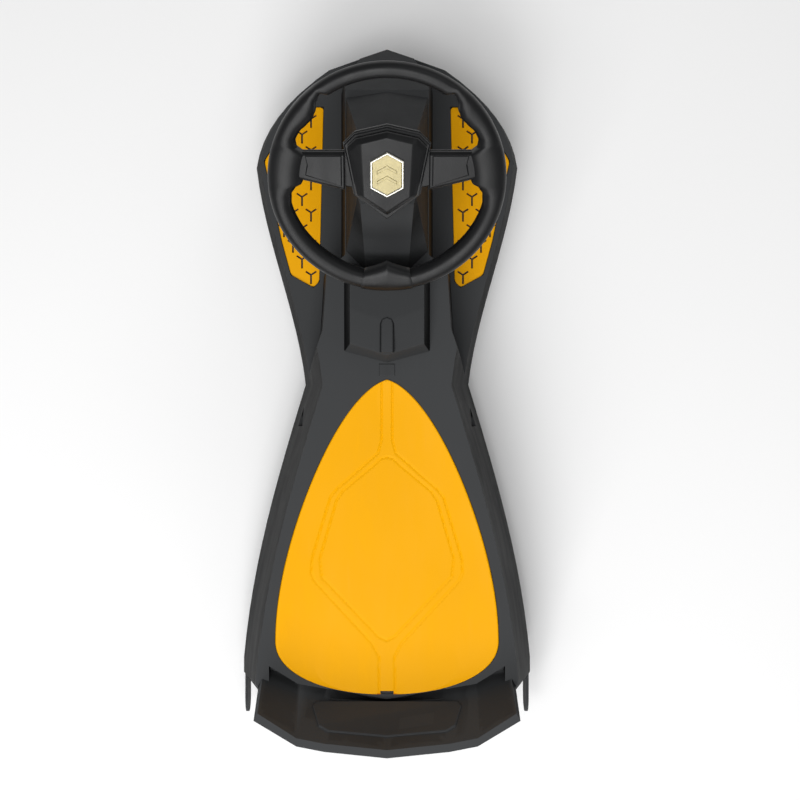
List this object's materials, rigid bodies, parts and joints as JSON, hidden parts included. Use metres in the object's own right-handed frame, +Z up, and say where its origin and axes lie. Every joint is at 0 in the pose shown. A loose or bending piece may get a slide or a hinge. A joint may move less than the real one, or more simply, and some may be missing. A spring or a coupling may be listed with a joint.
{
  "type": "ride-on swing car",
  "caption": "Child's ride-on swing car with a turning steering wheel on a yoke of small wheels, a long seat, a low backrest and foot wells.",
  "frame": {"origin": "on the floor, in the middle of the car's length and width", "axes": "+Z up, the nose points to -Y, +X is the rider's left"},
  "size_m": [0.35, 0.82, 0.413],
  "materials": {
    "black_shell": "satin moulded polypropylene",
    "yellow_panel": "satin moulded polypropylene",
    "black_wheel": "fine-textured moulded plastic",
    "badge_silver": "plated plastic",
    "badge_face": "painted plastic",
    "nylon": "nylon",
    "steel": "zinc plated",
    "tyre_soft": "soft polyurethane",
    "grey_rim": "moulded polypropylene"
  },
  "bodies": {
    "body": {"backrest": "black_shell", "backrest_screws": "steel", "foot_mat_left": "yellow_panel", "foot_mat_right": "yellow_panel", "lower_bush": "nylon", "lower_shell": "black_shell", "rear_axle": "steel", "rear_axle_nuts": "steel", "rear_axle_spacers": "nylon", "screw_cap": "black_shell", "seat_panel": "yellow_panel", "shell_screws": "steel", "steering_tower": "black_shell", "tower_cover": "black_shell", "tower_screws": "steel", "upper_bush": "nylon", "upper_shell": "black_shell"},
    "steering": {"wheel_front_shell": "black_wheel", "wheel_back_shell": "black_wheel", "spoke_trim_left": "black_wheel", "spoke_trim_right": "black_wheel", "rim_trim": "black_wheel", "hub_base": "black_wheel", "wheel_screws": "steel", "steering_shaft": "steel", "shaft_washer": "steel", "shaft_nut": "steel", "yoke": "nylon", "yoke_pin": "steel", "front_axle": "steel", "front_axle_caps": "steel", "horn_springs": "steel"},
    "horn": {"horn_pad": "black_wheel", "badge_bezel": "badge_silver", "badge_plate": "badge_face"},
    "rear_wheel_left": {"rear_tyre_left": "tyre_soft", "rear_rim_left": "grey_rim", "rear_bush_left": "nylon", "rear_hub_cap_left": "grey_rim"},
    "front_wheel_left": {"front_tyre_left": "tyre_soft", "front_rim_left": "grey_rim"},
    "rear_wheel_right": {"rear_tyre_right": "tyre_soft", "rear_rim_right": "grey_rim", "rear_bush_right": "nylon", "rear_hub_cap_right": "grey_rim"},
    "front_wheel_right": {"front_tyre_right": "tyre_soft", "front_rim_right": "grey_rim"}
  },
  "joints": [
    {"name": "steering_turn", "type": "hinge", "parent": "body", "child": "steering", "pos_m": [0, -0.213, 0.2], "axis": [0, 0, 1], "continuous": true},
    {"name": "horn_press", "type": "slide", "parent": "steering", "child": "horn", "axis": [0, -0.4695, -0.8829], "range_m": [0, 0.0025], "stiffness_N_per_m": 400, "springref_m": -0.006, "deforming": ["horn_springs"]},
    {"name": "front_left_roll", "type": "hinge", "parent": "steering", "child": "front_wheel_left", "pos_m": [0.045, -0.163, 0.035], "axis": [1, 0, 0], "continuous": true},
    {"name": "front_right_roll", "type": "hinge", "parent": "steering", "child": "front_wheel_right", "pos_m": [-0.045, -0.163, 0.035], "axis": [1, 0, 0], "continuous": true},
    {"name": "rear_left_roll", "type": "hinge", "parent": "body", "child": "rear_wheel_left", "pos_m": [0.142, 0.312, 0.05], "axis": [1, 0, 0], "continuous": true},
    {"name": "rear_right_roll", "type": "hinge", "parent": "body", "child": "rear_wheel_right", "pos_m": [-0.142, 0.312, 0.05], "axis": [1, 0, 0], "continuous": true}
  ]
}
